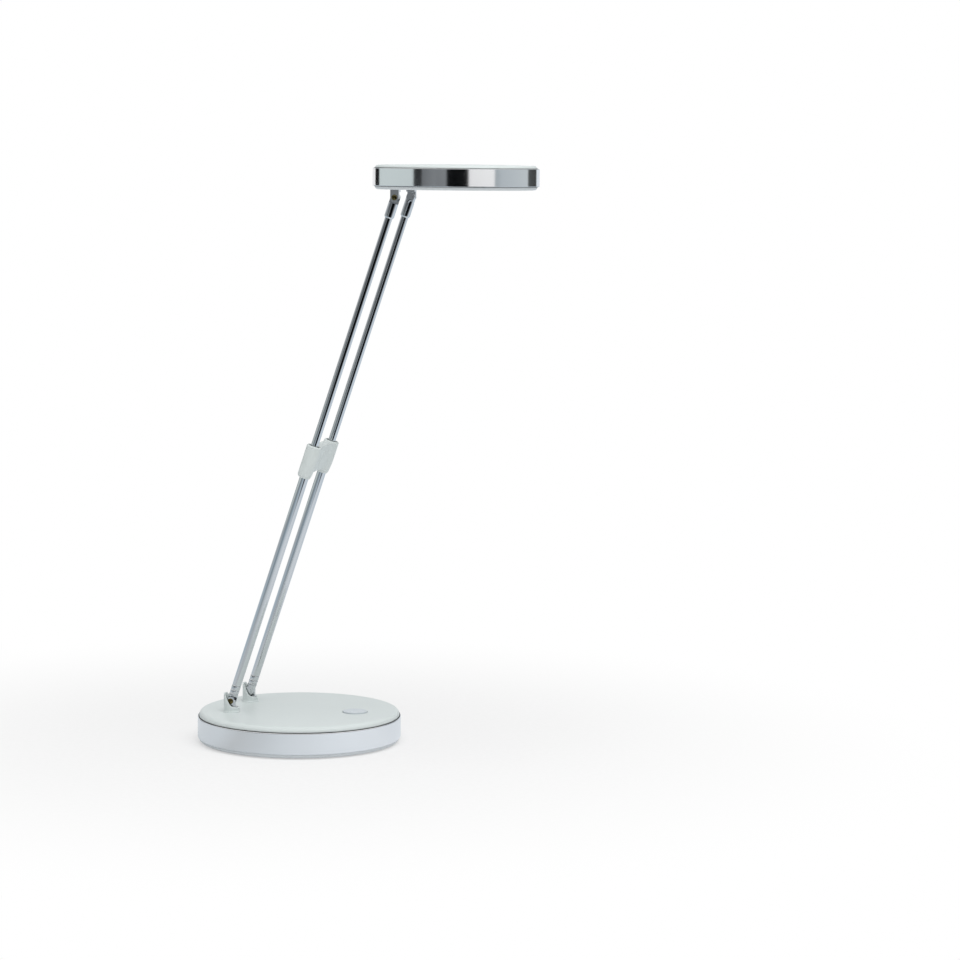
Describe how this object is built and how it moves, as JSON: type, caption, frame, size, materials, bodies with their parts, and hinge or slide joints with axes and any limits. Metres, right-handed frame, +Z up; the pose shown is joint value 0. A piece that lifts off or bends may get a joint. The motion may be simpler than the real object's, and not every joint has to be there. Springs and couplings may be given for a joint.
{
  "type": "desk lamp",
  "caption": "Telescopic desk lamp with a weighted round foot, two parallel extending arms that swing down and a flat round light head that tilts.",
  "frame": {"origin": "middle of the foot's underside, on the table", "axes": "+Z up, +X the way the arms lean and the head reaches, +Y along the pivots, away from the viewer of the picture"},
  "size_m": [0.2094, 0.125, 0.3546],
  "materials": {
    "white_plastic": "satin gloss",
    "pale_plastic": "satin",
    "silver_plastic": "silver painted",
    "black_plastic": "matt",
    "black_rubber": "foam rubber",
    "bright_chrome": "bright plated",
    "brass": "bright",
    "zinc_steel": "zinc plated",
    "ballast_steel": "mill finish",
    "aluminium_sheet": "mill finish",
    "circuit_board": "solder mask",
    "white_board": "white solder mask",
    "diode_phosphor": "resin",
    "opal_acrylic": "opal",
    "lead_insulation": "smooth"
  },
  "bodies": {
    "base": {"foot_pad": "black_rubber", "foot_tray": "pale_plastic", "foot_band": "bright_chrome", "foot_cover": "white_plastic", "hood_front": "white_plastic", "hood_rear": "white_plastic", "foot_screws": "zinc_steel", "ballast": "ballast_steel", "post_front": "bright_chrome", "post_rear": "bright_chrome", "post_screws": "zinc_steel", "lower_pivot_washers": "black_plastic", "switch_body": "black_plastic", "driver_board": "circuit_board", "board_screws": "zinc_steel", "coil_and_capacitors": "black_plastic", "power_inlet": "black_plastic", "inlet_pin": "zinc_steel", "foot_leads": "lead_insulation", "inlet_leads": "lead_insulation"},
    "switch_button": {"button_cap": "silver_plastic", "switch_plunger": "black_plastic"},
    "lower_arm": {"tube_front": "bright_chrome", "tube_rear": "bright_chrome", "knuckle_front": "bright_chrome", "knuckle_rear": "bright_chrome", "arm_clamp": "white_plastic", "guide_bushes": "black_plastic", "lower_pivot_screws": "brass"},
    "upper_arm": {"rod_front": "bright_chrome", "rod_rear": "bright_chrome", "rod_sliders": "brass", "ferrule_front": "bright_chrome", "ferrule_rear": "bright_chrome", "upper_pivot_screws": "brass"},
    "light_head": {"head_band": "bright_chrome", "head_cover": "white_plastic", "head_housing": "pale_plastic", "diffuser": "opal_acrylic", "reflector": "white_plastic", "diode_board": "white_board", "diodes": "diode_phosphor", "heat_spreader": "aluminium_sheet", "terminal_block": "white_plastic", "bracket_front": "bright_chrome", "bracket_rear": "bright_chrome", "bracket_screws": "zinc_steel", "head_leads": "lead_insulation", "upper_pivot_washers": "black_plastic"}
  },
  "joints": [
    {"name": "arm_tilt", "type": "hinge", "parent": "base", "child": "lower_arm", "pos_m": [-0.0377, 0, 0.0262], "axis": [0, 1, 0], "range_deg": [-18.3, 71.7]},
    {"name": "arm_extension", "type": "slide", "parent": "lower_arm", "child": "upper_arm", "axis": [0.314, 0, 0.9494], "range_m": [-0.142, 0]},
    {"name": "head_tilt", "type": "hinge", "parent": "upper_arm", "child": "light_head", "pos_m": [0.06435, 0, 0.33476], "axis": [0, 1, 0], "range_deg": [-61.7, 98.3]},
    {"name": "switch_press", "type": "slide", "parent": "base", "child": "switch_button", "axis": [0, 0, -1], "range_m": [0, 0.0008], "stiffness_N_per_m": 1500}
  ]
}
